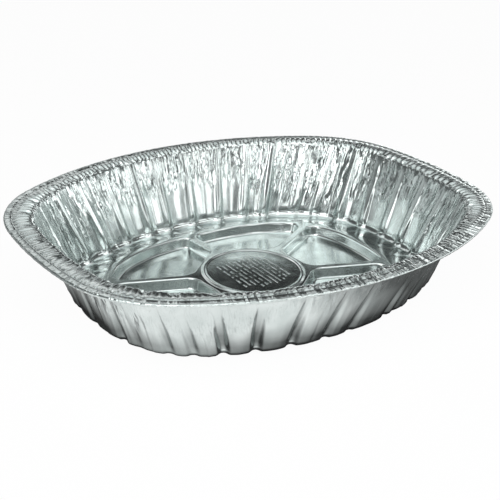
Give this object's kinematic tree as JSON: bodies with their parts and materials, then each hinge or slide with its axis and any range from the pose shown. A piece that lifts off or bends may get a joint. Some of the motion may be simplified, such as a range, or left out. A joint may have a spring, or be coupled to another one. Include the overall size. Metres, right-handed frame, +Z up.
{
  "type": "foil roasting pan",
  "caption": "Oval roasting pan pressed from thin aluminium foil, with a fluted wall, a rolled rim, sunk floor panels and a round medallion.",
  "frame": {"origin": "on the table, under the middle of the pan's floor", "axes": "+X along the pan's length, +Y across it, +Z up out of its mouth"},
  "size_m": [0.46, 0.364, 0.0824],
  "materials": {
    "foil": "bright rolled foil"
  },
  "bodies": {
    "root": {"roasting_pan": "foil"}
  },
  "joints": []
}
